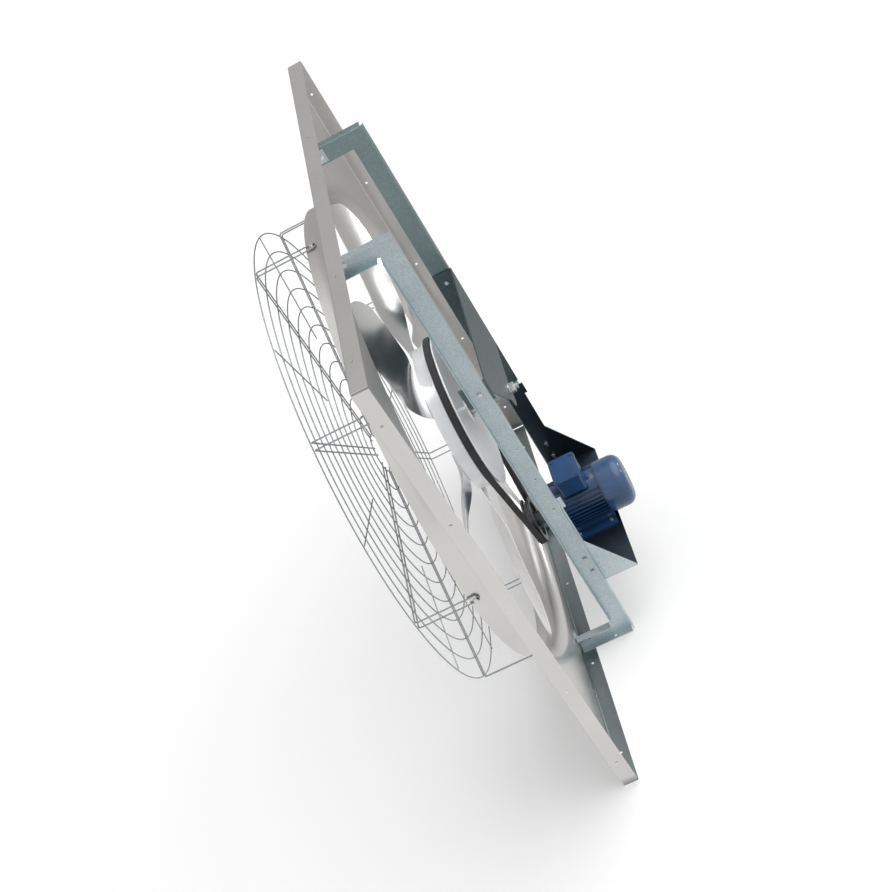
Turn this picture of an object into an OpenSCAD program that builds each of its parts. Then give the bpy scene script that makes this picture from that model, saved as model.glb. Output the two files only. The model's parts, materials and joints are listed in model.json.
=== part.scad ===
// Whole house fan: belt-driven propeller in a pressed square panel, with motor, tray and wire guard.
// The fan axis is Y. The motor is on the -Y side, the guard on the +Y side, and Z is up.
// The origin is where the fan axis meets the panel's wall face.

/* [Panel] */
// Side of the square panel
panel_w = 1380; // [1320:10:1500]
// Sheet thickness of the panel
panel_t = 1.5; // [1:0.1:2.5]
// Depth of the folded rim
rim_depth = 38; // [30:1:60]
// Outer bend radius of the folded rim
rim_bend = 4; // [3:0.5:8]
// Number of fixing holes along each rim
rim_hole_count = 5; // [3:1:5]
// Distance between fixing holes
rim_hole_pitch = 297; // [240:1:310]
// Diameter of the fixing holes
rim_hole_d = 7; // [5:0.5:10]
// Distance of the fixing holes from the wall face
rim_hole_y = 17.5; // [12:0.5:22]

/* [Bell mouth] */
// Inside diameter of the throat
throat_d = 1200; // [1196:2:1220]
// How far the bell flares out from the throat to the panel
flare_w = 40; // [25:1:48]
// Length of the flare along the fan axis
flare_h = 50; // [35:1:60]
// Depth of the whole collar behind the wall face
collar_h = 68; // [64:1:90]

/* [Beams] */
// Clear distance between the two beams
beam_gap = 464; // [450:2:480]
// Distance from the wall face to the beams' outer faces
beam_rise = 151; // [140:1:170]
// Width of a beam's web
beam_w = 46; // [40:1:52]
// Width of a beam's lips
beam_lip = 22; // [15:1:26]
// Sheet thickness of the beams
beam_t = 2; // [1.5:0.1:3]
// Length left open between two lips at a corner
lip_notch = 7; // [4:0.5:10]

/* [Hub support] */
// Height of the support's top edge above the fan axis
support_top = 237; // [225:1:250]
// Height of the narrow end's lower edge above the fan axis
support_low = 194; // [185:1:205]
// How far the wide end's cheek reaches below the fan axis
support_drop = 165; // [120:1:175]
// Sheet thickness of the support
support_t = 3; // [2:0.5:4]
// How far the support stands proud of the beams
support_proud = 6; // [4:0.5:9]
// Radius of the plate around the spindle
support_boss_r = 44; // [32:1:55]

/* [Spindle and drum] */
// Diameter of the spindle in its bearings
spindle_d = 25; // [20:1:28]
// Thread diameter of the spindle's front end
thread_d = 16; // [14:1:20]
// Rim diameter of the drum pulley
drum_d = 396; // [380:2:410]
// Diameter of the drum's skirt
skirt_d = 376; // [364:2:378]
// Distance from the wall face to the skirt's back edge
skirt_back = 9; // [6:1:12]
// Width of the drum's rim
drum_rim_w = 28; // [26:1:32]
// Distance from the wall face to the middle of the belt
belt_y = 35; // [33:1:40]

/* [Propeller blades] */
// Diameter over the blade tips
impeller_d = 1180; // [1140:2:1184]
// Direction of the first blade, from +X towards +Z
first_blade = 53; // [44:1:62]
// Thickness of a blade
blade_t = 2; // [1.5:0.25:3]
// Angle about the fan axis that a blade spans
blade_angle = 16; // [12:1:24]
// Angle about the fan axis that a blade's root spans
root_angle = 28; // [24:1:32]
// Rise of a blade along the fan axis from leading to trailing edge
blade_rise = 44; // [30:1:54]
// Depth of a blade's hollow
blade_camber = 8; // [4:1:12]

/* [Belt] */
// Top width of the V-belt
belt_w = 17; // [15:0.5:17]
// Height of the V-belt
belt_h = 11; // [9:0.5:11]
// How far the belt stands proud of the rims
belt_proud = 4; // [2:0.5:5]
// Angle of the belt's flank
belt_flank = 19; // [17:0.5:20]

/* [Motor] */
// Distance from the fan axis down to the motor shaft
shaft_drop = 425; // [415:1:430]
// Height of the motor shaft over the tray
motor_h = 71; // [71:1:80]
// Distance between the foot bolts across the shaft
foot_across = 112; // [108:1:125]
// Distance between the foot bolts along the shaft
foot_along = 90; // [85:1:96]
// Outer diameter of the finned frame
motor_d = 140; // [130:1:141]
// Diameter of the motor shaft's end
shaft_d = 14; // [12:1:16]
// Distance from the wall face to the shaft's end
shaft_end = 53; // [49:1:56]
// Length of the shaft's end before the motor face
shaft_len = 30; // [28:1:36]
// Number of fins around the frame
fin_count = 40; // [28:4:48]
// Rim diameter of the motor pulley
small_d = 124; // [112:2:136]

/* [Tray] */
// Sheet thickness of the tray
tray_t = 2.5; // [2:0.1:4]
// Distance from the wall face to the tray's outer edge
tray_out = 240; // [236:1:252]
// Height of the tray's cheeks over the tray, where they leave the beams
cheek_h = 151; // [110:1:165]
// How far the motor can be raised to slacken the belt
slack = 12; // [8:1:14]

/* [Guard] */
// Wire diameter of the pairs
wire_d = 3.5; // [3:0.25:5]
// Distance from the wall face to the guard's front
guard_y = 198.5; // [180:0.5:220]
// Distance between the guard's rings
ring_pitch = 50; // [40:1:60]
// Number of rings
ring_count = 12; // [9:1:12]
// Number of double wires
leg_count = 8; // [6:2:8]
// Distance between the two wires of a pair
pair_gap = 18; // [14:1:22]
// Distance from the wall face to the closed end of a pair
pair_end = 44; // [43:1:50]

/* [Hidden] */

// How far a cut runs past the faces it cuts
over = 1;
// Clearance between pieces that lie on each other
gap = 0.2;
// Clearance round pieces that move
run_gap = 0.4;
// Radial clearance of a shaft in its bearing
fit = 0.04;

panel_half = panel_w / 2;
throat_r = throat_d / 2;
bell_r = throat_r + flare_w;

beam_x = beam_gap / 2;
beam_out = beam_x + beam_lip;
beam_end = panel_half - panel_t - gap;
beam_in = beam_rise - beam_w;
foot_y = panel_t + gap;
// Distance from the wall face to the ends of the beams' legs, clear of the rim's bend
leg_foot = rim_bend + gap;
leg_in = beam_end - beam_w;
// Small holes along the web, as heights over the fan axis
spare_holes = [15, -93, -202];
spare_hole_d = 7;
// Distance from the beam's outer face to its row of holes
web_hole_in = 17;
leg_hole_y = 98;
leg_hole_d = 8;

angle_w = 30;
angle_h = 44;
angle_t = 3;
angle_len = 34;
angle_z = leg_in + beam_w / 2 + gap;
foot_screw_y = 33;
m5_d = 5;
m6_d = 6;
m8_d = 8;
// Sizes of heads, nuts and shank ends as shares of the thread
head_share = 0.65;
nut_share = 0.8;
hex_share = 1.6;
pan_share = 2;
end_share = 0.25;

support_y = beam_rise + support_proud;
support_x = beam_x - gap;
near_cheek_in = 90;
near_cheek_low = 175;
support_screw_z = 206;
support_screw_y = 129;

washer_t = 3;
washer_d = 30;
spindle_front = 182;
spindle_collar_d = 40;
shoulder_d = 32;
spindle_collar_t = 8;
spindle_back = 22;
nut_af = 24;
nut_h = 13;
circlip_t = 1.5;
circlip_rim = 3.5;

bearing_d = 52;
bearing_w = 15;
hub_wall = 8;
hub_front = belt_y + drum_rim_w / 2 + support_t;
hub_back = 10;
race_share = 0.25;
dip_share = 0.07;
spacer_wall = 3;
drum_web_t = 3;
drum_r = drum_d / 2;
skirt_r = skirt_d / 2;
skirt_t = 3.5;
flange_in_r = 128;
drum_front = belt_y + drum_rim_w / 2;
drum_rim_back = belt_y - drum_rim_w / 2;
belt_r = drum_r + belt_proud;
// Space left under the belt in its grooves
groove_floor = 1.5;
groove_deep = belt_h - belt_proud + groove_floor;

small_r = small_d / 2;
small_belt_r = small_r + belt_proud;
small_rim_w = 22;
small_rim_t = 5;
small_web_t = 6;
small_hub_r = 20;
small_hub_end = shaft_end + shaft_len - run_gap;
small_hole_d = 17;
small_hole_count = 6;
key_w = 5;
key_len = 20;

blade_count = 6;
root_r0 = 136;
tab_r = 184;
root_bolt_r = 160;
root_bolt_turn = 9;
blade_low = -10;
blade_steps = 12;
blade_rows = 18;
// Shares of the tip radius over which the root narrows, twists and swings back
narrow_share = 0.45;
twist_share = 0.22;
sweep_share = 0.4;
// Angle by which the root runs ahead of the tip
blade_sweep = 10;
// How far the tip's two corners are rounded off, measured inwards
lead_round = 100;
trail_round = 34;

motor_z = -shaft_drop;
motor_r = motor_d / 2;
fin_h = 9;
tube_wall = 7;
tube_r = motor_r - fin_h;
bore_r = tube_r - tube_wall;
rotor_r = 33;
air_gap = 0.5;
motor_face = shaft_end + shaft_len;
shield_t = 17;
body_front = motor_face + shield_t;
body_len = 132;
body_back = body_front + body_len;
rear_shield_t = 12;
cowl_lap = 8;
cowl_rim = body_back + rear_shield_t - cowl_lap;
cowl_len = 67;
cowl_t = 1.5;
cowl_back = cowl_rim + cowl_len;
cowl_dome = 26;
vent_rings = 3;
vent_pitch = 13;
vent_d = 6;
vents_per_ring = 6;
shield_rim_r = motor_r - cowl_t - gap;
fin_t = 2.4;
fin_clear = 10;
// Distance from the wall face to the faces that the shield's screws sit on
screw_seat = body_front - fin_clear;
foot_pad_t = 8;
foot_pad_w = 34;
foot_pad_over = 14;
foot_wall = 9;
foot_front = 128;
// Directions below the shaft at which a foot's web joins the tube
web_from = 35;
web_to = 62;
// Directions above and below the shaft up to which there are fins
fins_above = 50;
fins_below = 40;
shaft_body_r = 10;
shaft_over = 34;
shaft_back = body_back + shaft_over;
seat_r = 20;
winding_over = 16;
stack_front = body_front + winding_over;
stack_len = 84;
fan_clear = 8;
fan_y = body_back + rear_shield_t + fan_clear;
fan_vane = 16;
fan_vane_count = 8;
fan_hub_wall = 6;
fan_tip_clear = 3;
small_bearing_d = 32;
small_bearing_w = 10;

box_w = 90;
box_len = 70;
box_front = 136;
box_h = 42;
box_lid_t = 12;
box_r = 8;
box_foot = 3;
box_low = motor_z + tube_r + box_foot + gap;
gland_d = 22;
gland_len = 20;

tray_z = motor_z - motor_h;
tray_inset = 3;
tray_back = beam_in + tray_inset;
cheek_x = beam_x - gap;
cheek_edge = beam_rise + tray_inset;
tab_h = 35;
tab_out = 8;
tab_top = -support_drop - slack - tray_t;
cheek_top = tab_top - tab_h;
slot_z = [-399, -449];
slot_w = 7;
stack_holes_d = 7;

spoke_len = (ring_count - 1) * ring_pitch / 2;
ring_wire_d = 3;
spoke_y = guard_y - ring_wire_d - gap / 2;
pair_y = guard_y - (ring_wire_d + wire_d) / 2 - gap / 2;
collar_out = throat_r + panel_t;
guard_r = throat_r;
wire_sides = 8;
pair_r = collar_out + wire_d / 2 + 3 * gap;
clip_t = 1.5;
clip_w = 9;
bend_r = 7;
// Step in degrees of a drawn bend
bend_step = 15;

$fn = 48;

// Stands a shape drawn in X and Z upright at distance y before the wall face, growing towards -Y
module upright(y = 0) translate([0, -y, 0]) rotate([90, 0, 0]) children();

// Spins an outline about the fan axis; its x is the radius and its y points along +Y
module spun(facets = 160) rotate([-90, 0, 0]) rotate_extrude($fn = facets) children();

// A shape drawn in Y and Z, extruded along X from x
module sideways(x = 0) translate([x, 0, 0]) rotate([90, 0, 90]) children();

// A box between two corners
module block(low, high) translate(low) cube(high - low);

// A ring or disc about the Y axis, from y0 to y1
module ring_y(r_out, r_in, y0, y1, facets = 96)
  translate([0, y0, 0]) rotate([-90, 0, 0]) difference() {
    cylinder(r = r_out, h = y1 - y0, $fn = facets);
    if (r_in > 0) translate([0, 0, -over]) cylinder(r = r_in, h = y1 - y0 + 2 * over, $fn = facets);
  }

// A hexagon head or nut along Z
module hexagon(af, h) cylinder(d = af / cos(30), h = h, $fn = 6);

// A screw along Z whose head stands on z = 0 and whose shank goes down
module screw(d, len) {
  cylinder(d = pan_share * d, h = head_share * d / 2);
  translate([0, 0, -len]) cylinder(d = d, h = len + head_share * d / 2);
}

// A hexagon bolt along Z through a stack of the given thickness, with its nut below
module bolt(d, stack) {
  below = stack + nut_share * d;
  hexagon(hex_share * d, head_share * d);
  translate([0, 0, -below - end_share * d]) cylinder(d = d, h = below + 2 * end_share * d);
  translate([0, 0, -below]) hexagon(hex_share * d, nut_share * d);
}

// Directions along a path
function unit(v) = v / norm(v);
function tangent(path, i) = unit(path[min(i + 1, len(path) - 1)] - path[max(i - 1, 0)]);

// Panel with its folded rim and the bell mouth pressed into it
function quarter(r_far, y_far, r_half, y_half, steps = 12) =
  [for (i = [0:steps]) let (a = 90 * i / steps) [r_far - r_half * sin(a), y_far - y_half * cos(a)]];
module bell() {
  inner = quarter(bell_r, flare_h, flare_w, flare_h + panel_t);
  outer = quarter(bell_r, flare_h, flare_w - panel_t, flare_h);
  last = len(outer) - 1;
  spun() polygon(concat([[bell_r + rim_bend, -panel_t]], inner,
    [[throat_r, collar_h], [collar_out, collar_h]],
    [for (i = [0:last]) outer[last - i]], [[bell_r + rim_bend, 0]]));
}
module rim_profile() {
  bend = panel_half - rim_bend;
  turns = [0:bend_step:90];
  polygon(concat([[-panel_t, bend - rim_bend], [0, bend - rim_bend]],
    [for (a = turns) [-rim_bend + rim_bend * cos(a), bend + rim_bend * sin(a)]],
    [[-rim_depth, panel_half], [-rim_depth, panel_half - panel_t]],
    [for (a = turns)
      [-rim_bend + (rim_bend - panel_t) * sin(a), bend + (rim_bend - panel_t) * cos(a)]]));
}
module folded_rim() difference() {
  side = panel_w - 2 * rim_bend;
  sideways(-side / 2) linear_extrude(side) rim_profile();
  for (i = [0:rim_hole_count - 1])
    translate([(i - (rim_hole_count - 1) / 2) * rim_hole_pitch, -rim_hole_y, panel_half - panel_t - over])
      cylinder(d = rim_hole_d, h = panel_t + 2 * over);
}
module panel() color("#c9c6c3") {
  flat = panel_half - rim_bend;
  difference() {
    block([-flat, -panel_t, -flat], [flat, 0, flat]);
    ring_y(bell_r + rim_bend / 2, 0, -panel_t - over, over, 160);
  }
  bell();
  for (a = [0:90:270]) rotate([0, a, 0]) folded_rim();
}

// Bridge beam: a channel with its back towards the fan axis and its lips outwards
module web_outline() difference() {
  translate([-beam_rise, -beam_end]) square([beam_rise - leg_foot, 2 * beam_end]);
  translate([-beam_in, -leg_in]) square([beam_in, 2 * leg_in]);
}
module web_holes(x0, x1) {
  hole_y = beam_rise - web_hole_in;
  for (z = spare_holes) along_x(x0, x1, hole_y, z, spare_hole_d);
  for (z = slot_z) along_x(x0, x1, hole_y, z, m6_d + gap);
  along_x(x0, x1, support_screw_y, support_screw_z, m6_d + gap);
  for (s = [-1, 1]) along_x(x0, x1, foot_screw_y, s * angle_z, m6_d + gap);
}
module along_x(x0, x1, y, z, d)
  translate([x0, -y, z]) rotate([0, 90, 0]) cylinder(d = d, h = x1 - x0);
module beam() {
  difference() {
    sideways(beam_x) linear_extrude(beam_t) web_outline();
    web_holes(beam_x - over, beam_x + beam_t + over);
  }
  lip_z = beam_end - lip_notch;
  inner_z = leg_in - lip_notch;
  block([beam_x, -beam_rise, -lip_z], [beam_out, -beam_rise + beam_t, lip_z]);
  block([beam_x, -beam_in - beam_t, -inner_z], [beam_out, -beam_in, inner_z]);
  for (s = [0, 1]) mirror([0, 0, s]) difference() {
    union() {
      block([beam_x, -beam_rise + lip_notch, beam_end - beam_t], [beam_out, -leg_foot, beam_end]);
      block([beam_x, -beam_in + lip_notch, leg_in], [beam_out, -leg_foot, leg_in + beam_t]);
    }
    translate([(beam_x + beam_t + beam_out) / 2, -leg_hole_y, beam_end - beam_t - over])
      cylinder(d = leg_hole_d, h = beam_t + 2 * over);
  }
}
module beam_right() color("#7d8b8e") beam();
module beam_left() color("#93a1a3") mirror([1, 0, 0]) beam();

// Angles on the panel that the beams' feet are screwed to
module foot_angle() difference() {
  x1 = beam_x - gap;
  z0 = angle_z - angle_len / 2;
  z1 = angle_z + angle_len / 2;
  union() {
    block([x1 - angle_t, -angle_h, z0], [x1, -foot_y, z1]);
    block([x1 - angle_w, -foot_y - angle_t, z0], [x1, -foot_y, z1]);
  }
  along_x(x1 - angle_t - over, x1 + over, foot_screw_y, angle_z, m6_d + gap);
}
module four_feet() for (a = [0, 1], b = [0, 1]) mirror([a, 0, 0]) mirror([0, 0, b]) children();
module foot_angles() color("#8d9a9c") four_feet() foot_angle();
module foot_screws() color("#d5d8d9") four_feet()
  translate([beam_x + beam_t + gap, -foot_screw_y, angle_z]) rotate([0, 90, 0])
    bolt(m6_d, beam_t + angle_t + 3 * gap);

// Plate across the beams that carries the spindle
module support_outline() {
  inside = support_boss_r / 2;
  polygon([[-support_x, support_low], [-support_x, support_top], [support_x, support_top],
    [support_x, -inside], [-inside, -inside]]);
  circle(r = support_boss_r, $fn = 64);
}
module hub_support() color("#85939a") difference() {
  union() {
    upright(support_y - support_t) linear_extrude(support_t) difference() {
      support_outline();
      circle(d = thread_d + 2 * gap);
    }
    block([-support_x, -support_y, near_cheek_low],
      [-support_x + support_t, -near_cheek_in, support_top]);
    block([support_x - support_t, -support_y, -support_drop], [support_x, -beam_in, support_top]);
  }
  for (x = [-support_x, support_x])
    along_x(x - 2 * support_t, x + 2 * support_t, support_screw_y, support_screw_z, m6_d + gap);
}
module support_screws() color("#d5d8d9") for (s = [0, 1]) mirror([s, 0, 0])
  translate([beam_x + beam_t + gap, -support_screw_y, support_screw_z]) rotate([0, 90, 0])
    bolt(m6_d, beam_t + support_t + 3 * gap);

// Spindle, fixed in the support, on which the drum turns
module spindle() color("#8a8d90") {
  behind = support_y - support_t - gap;
  difference() {
    spun(64) polygon([[0, -spindle_front], [thread_d / 2, -spindle_front], [thread_d / 2, -behind],
      [spindle_collar_d / 2, -behind], [spindle_collar_d / 2, -behind + spindle_collar_t],
      [shoulder_d / 2, -behind + spindle_collar_t], [shoulder_d / 2, -hub_front - gap],
      [spindle_d / 2, -hub_front - gap], [spindle_d / 2, spindle_back], [0, spindle_back]]);
    ring_y(spindle_d, spindle_d / 2 - circlip_t, hub_back + gap, hub_back + circlip_t + 2 * gap, 64);
  }
}
module spindle_washer() color("#c4c8ca")
  ring_y(washer_d / 2, thread_d / 2 + gap, -support_y - gap - washer_t, -support_y - gap, 64);
module spindle_nut() color("#3b3f43") difference() {
  seat = support_y + washer_t + 2 * gap;
  upright(seat) hexagon(nut_af, nut_h);
  ring_y(thread_d / 2 + fit, 0, -seat - nut_h - over, -seat + over, 48);
}
module spindle_circlip() color("#55585b") difference() {
  y0 = hub_back + 2 * gap;
  ring_y(spindle_d / 2 + circlip_rim, spindle_d / 2 - circlip_t + fit, y0, y0 + circlip_t, 64);
  block([-circlip_t, y0 - over, 0], [circlip_t, y0 + circlip_t + over, spindle_d]);
}

// Ball bearing seen as a ring with recessed shields
module bearing(bore, outer, width, y0) {
  ro = outer / 2;
  ri = bore / 2 + fit;
  race = (ro - ri) * race_share;
  dip = width * dip_share;
  translate([0, y0, 0]) spun(72) polygon([[ri, 0], [ri + race, 0], [ri + race, dip], [ro - race, dip],
    [ro - race, 0], [ro, 0], [ro, width], [ro - race, width], [ro - race, width - dip],
    [ri + race, width - dip], [ri + race, width], [ri, width]]);
}
module front_bearing() color("#a9adb0")
  bearing(spindle_d, bearing_d, bearing_w, -hub_front);
module rear_bearing() color("#a9adb0")
  bearing(spindle_d, bearing_d, bearing_w, hub_back - bearing_w);
module bearing_spacer() color("#9fa3a6")
  ring_y(bearing_d / 2 - gap, bearing_d / 2 - spacer_wall,
    -hub_front + bearing_w + gap, hub_back - bearing_w - gap, 72);

// Drum pulley: hub, front disc, grooved rim and skirt in one piece
function groove_half(below) = belt_w / 2 - below * tan(belt_flank) + run_gap;
module drum_pulley() color("#dfe3e6") {
  seat = bearing_d / 2;
  boss = seat + hub_wall;
  bottom_r = drum_r - groove_deep;
  top = groove_half(belt_proud);
  low = groove_half(belt_h);
  wall_r = bottom_r - skirt_t;
  spun() polygon([[seat, -hub_front], [boss, -hub_front], [boss, -drum_front], [drum_r, -drum_front],
    [drum_r, -belt_y - top], [bottom_r, -belt_y - low], [bottom_r, -belt_y + low], [drum_r, -belt_y + top],
    [drum_r, -drum_rim_back], [skirt_r, -drum_rim_back], [skirt_r, skirt_back],
    [flange_in_r, skirt_back], [flange_in_r, skirt_back - drum_web_t],
    [skirt_r - skirt_t, skirt_back - drum_web_t], [skirt_r - skirt_t, -drum_rim_back],
    [wall_r, -drum_rim_back - drum_web_t], [wall_r, -drum_front + drum_web_t],
    [boss, -drum_front + drum_web_t], [boss, hub_back], [seat, hub_back]]);
}

// Blade: a flat root tab that turns into a wide hollow petal
function smooth(t) = let (c = max(0, min(1, t))) c * c * (3 - 2 * c);
function reach(r, share) = smooth((r - tab_r) / (share * impeller_d / 2));
function corner_cut(u) = (u < 1 / 2 ? lead_round : trail_round) * pow(abs(2 * u - 1), 3);
function blade_point(u, v, up) =
  let (tip = impeller_d / 2 - corner_cut(u),
    r = root_r0 + (tip - root_r0) * v,
    width = root_angle + (blade_angle - root_angle) * reach(r, narrow_share),
    turn = (u - 1 / 2) * width + blade_sweep * (1 - reach(r, sweep_share)),
    hollow = blade_camber * (1 - pow(2 * u - 1, 2)),
    rise = blade_low - skirt_back + u * blade_rise + hollow,
    y = skirt_back + gap + reach(r, twist_share) * rise + up * blade_t)
  [r * cos(turn), y, r * sin(turn)];
module blade_skin() {
  n = blade_steps + 1;
  m = blade_rows + 1;
  points = [for (up = [0, 1], j = [0:blade_rows], i = [0:blade_steps])
    blade_point(i / blade_steps, j / blade_rows, up)];
  top = n * m;
  cells = [for (j = [0:blade_rows - 1], i = [0:blade_steps - 1]) j * n + i];
  lower = [for (c = cells) each [[c, c + n, c + n + 1], [c, c + n + 1, c + 1]]];
  upper = [for (c = cells) let (d = top + c) each [[d, d + 1, d + n + 1], [d, d + n + 1, d + n]]];
  edge = concat([for (i = [0:blade_steps - 1]) [i, i + 1]],
    [for (j = [0:blade_rows - 1]) [j * n + n - 1, (j + 1) * n + n - 1]],
    [for (i = [0:blade_steps - 1]) [n * m - 1 - i, n * m - 2 - i]],
    [for (j = [0:blade_rows - 1]) [(m - 1 - j) * n, (m - 2 - j) * n]]);
  rim = [for (e = edge) each [[e[0], e[1], top + e[1]], [e[0], top + e[1], top + e[0]]]];
  polyhedron(points, concat(lower, upper, rim));
}
module root_bolt_places() for (s = [-1, 1])
  rotate([0, -blade_sweep - s * root_bolt_turn, 0]) translate([root_bolt_r, 0, 0]) children();
module at_blade(number)
  rotate([0, -first_blade - number * 360 / blade_count, 0]) children();
module blade(number) color("#d4d6d8") at_blade(number) difference() {
  blade_skin();
  root_bolt_places() rotate([-90, 0, 0]) cylinder(d = m8_d + gap, h = 2 * skirt_back);
}
module blade_1() blade(0);
module blade_2() blade(1);
module blade_3() blade(2);
module blade_4() blade(3);
module blade_5() blade(4);
module blade_6() blade(5);
module blade_bolts() color("#b8bcbf") for (k = [0:blade_count - 1]) at_blade(k) root_bolt_places()
  translate([0, skirt_back + blade_t + 2 * gap, 0]) rotate([-90, 0, 0])
    hexagon(hex_share * m8_d, head_share * m8_d);

// V-belt, laid in the two grooves with its top proud of the rims
module v_belt() color("#26282a") {
  lean = asin((belt_r - small_belt_r) / shaft_drop);
  arc_steps = 40;
  big = [for (i = [0:arc_steps])
    let (a = -lean + (180 + 2 * lean) * i / arc_steps) [belt_r * cos(a), -belt_y, belt_r * sin(a)]];
  small = [for (i = [0:arc_steps]) let (a = 180 + lean + (180 - 2 * lean) * i / arc_steps)
    [small_belt_r * cos(a), -belt_y, motor_z + small_belt_r * sin(a)]];
  loop = concat(big, small);
  count = len(loop);
  foot = belt_w / 2 - belt_h * tan(belt_flank);
  section = [[-belt_w / 2, 0], [belt_w / 2, 0], [foot, -belt_h], [-foot, -belt_h]];
  centre = function(i) i <= arc_steps ? [0, -belt_y, 0] : [0, -belt_y, motor_z];
  rings = [for (i = [0:count - 1]) let (out = unit(loop[i] - centre(i)))
    [for (s = section) loop[i] + out * s[1] + [0, s[0], 0]]];
  n = len(section);
  sides = [for (i = [0:count - 1], j = [0:n - 1])
    let (a = i * n + j, b = i * n + (j + 1) % n, c = ((i + 1) % count) * n)
    each [[a, c + (j + 1) % n, b], [a, c + j, c + (j + 1) % n]]];
  polyhedron([for (r = rings) each r], sides);
}

// Motor pulley with its long hub on the shaft
module at_motor() translate([0, 0, motor_z]) children();
module motor_pulley() color("#3a3d40") at_motor() difference() {
  bottom_r = small_r - groove_deep;
  rim_r = bottom_r - small_rim_t;
  top = groove_half(belt_proud);
  low = groove_half(belt_h);
  half = small_rim_w / 2;
  web = small_web_t / 2;
  spun(120) polygon([[shaft_d / 2, -small_hub_end], [small_hub_r, -small_hub_end],
    [small_hub_r, -belt_y - web], [rim_r, -belt_y - web], [rim_r, -belt_y - half],
    [small_r, -belt_y - half], [small_r, -belt_y - top], [bottom_r, -belt_y - low],
    [bottom_r, -belt_y + low], [small_r, -belt_y + top], [small_r, -belt_y + half],
    [rim_r, -belt_y + half], [rim_r, -belt_y + web], [small_hub_r, -belt_y + web],
    [small_hub_r, -belt_y + half], [shaft_d / 2, -belt_y + half]]);
  for (k = [0:small_hole_count - 1]) rotate([0, k * 360 / small_hole_count, 0])
    translate([0, -belt_y - half, (small_hub_r + rim_r) / 2]) rotate([-90, 0, 0])
      cylinder(d = small_hole_d, h = small_rim_w);
  block([-key_w / 2 - gap, -small_hub_end - over, 0],
    [key_w / 2 + gap, -shaft_end + key_w, shaft_d / 2 + key_w / 2 + gap]);
  translate([0, -small_hub_end + key_w + m6_d, 0]) cylinder(d = m6_d + gap, h = 2 * small_hub_r);
}
module pulley_key() color("#6d7073") at_motor()
  block([-key_w / 2, -shaft_end - key_len, shaft_d / 2 - key_w / 2 + gap],
    [key_w / 2, -shaft_end, shaft_d / 2 + key_w / 2]);
module pulley_screw() color("#55585b") at_motor() {
  seat = shaft_d / 2 + key_w / 2 + gap;
  translate([0, -small_hub_end + key_w + m6_d, seat])
    cylinder(d = m6_d, h = small_hub_r - seat + gap);
}

// Rotor: shaft, core and cooling fan
module motor_shaft() color("#9a9da0") at_motor() difference() {
  seat = seat_r / 2 - gap;
  end_r = shaft_d / 2 - fit;
  spun(64) polygon([[0, -shaft_back], [seat, -shaft_back], [seat, -body_back - rear_shield_t],
    [shaft_body_r, -body_back - rear_shield_t], [shaft_body_r, -motor_face - gap],
    [end_r, -motor_face - gap], [end_r, -shaft_end], [0, -shaft_end]]);
  block([-key_w / 2 - gap, -shaft_end - key_len - gap, shaft_d / 2 - key_w / 2],
    [key_w / 2 + gap, -shaft_end + over, shaft_d]);
}
module rotor_core() color("#6f7274") at_motor()
  ring_y(rotor_r, shaft_body_r + fit, -stack_front - stack_len, -stack_front);
module cooling_fan() color("#2b2d2f") at_motor() {
  hub = seat_r / 2 + fan_hub_wall;
  tip = tube_r - fan_tip_clear;
  ring_y(hub, seat_r / 2 - gap + fit, -fan_y - fan_vane, -fan_y, 64);
  ring_y(tip, hub - gap, -fan_y - blade_t, -fan_y, 96);
  for (k = [0:fan_vane_count - 1]) rotate([0, k * 360 / fan_vane_count, 0])
    block([-blade_t / 2, -fan_y - fan_vane, hub - gap], [blade_t / 2, -fan_y, tip]);
}
module stator() color("#8c5a33") at_motor()
  ring_y(bore_r - gap, rotor_r + air_gap, -stack_front - stack_len, -stack_front);

// Motor frame with fins along the shaft and two rows of feet
module foot_outline() {
  pad_low = -motor_h + gap;
  pad_in = foot_across / 2 - foot_pad_w / 2;
  pad_out = foot_across / 2 + foot_pad_w / 2;
  translate([pad_in, pad_low]) square([foot_pad_w, foot_pad_t]);
  polygon([[pad_in, pad_low + foot_pad_t / 2], [pad_in + foot_wall, pad_low + foot_pad_t / 2],
    [tube_r * cos(web_from), -tube_r * sin(web_from)], [tube_r * cos(web_to), -tube_r * sin(web_to)]]);
}
module foot_bolt_places() for (s = [-1, 1], k = [0, 1])
  translate([s * foot_across / 2, -foot_front - k * foot_along, tray_z + foot_pad_t]) children();
module motor_frame() color("#2f5288") {
  at_motor() {
    ring_y(tube_r, bore_r, -body_back, -body_front);
    for (k = [0:fin_count - 1]) let (a = 360 * (k + 1 / 2) / fin_count)
      if (sin(a) < sin(fins_above) && sin(a) > -sin(fins_below)) rotate([0, -a, 0])
        block([tube_r - fin_t, -body_back + fin_t, -fin_t / 2], [motor_r, -body_front - fin_t, fin_t / 2]);
    block([-box_w / 3, -box_front - box_len, tube_r - fin_t],
      [box_w / 3, -box_front, tube_r + box_foot]);
  }
  difference() {
    at_motor() for (s = [0, 1]) mirror([s, 0, 0]) upright(foot_front - foot_pad_over)
      linear_extrude(foot_along + 2 * foot_pad_over) foot_outline();
    foot_bolt_places() translate([0, 0, -foot_pad_t - over])
      cylinder(d = stack_holes_d, h = foot_pad_t + 2 * over);
    at_motor() ring_y(tube_r - over, 0, -body_back - foot_pad_w, -body_front + foot_pad_w);
  }
}
module shield_bolts(y) for (k = [0:3]) rotate([0, 45 + 90 * k, 0])
  translate([0, y, tube_r - m6_d]) rotate([-90, 0, 0]) children();
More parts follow.
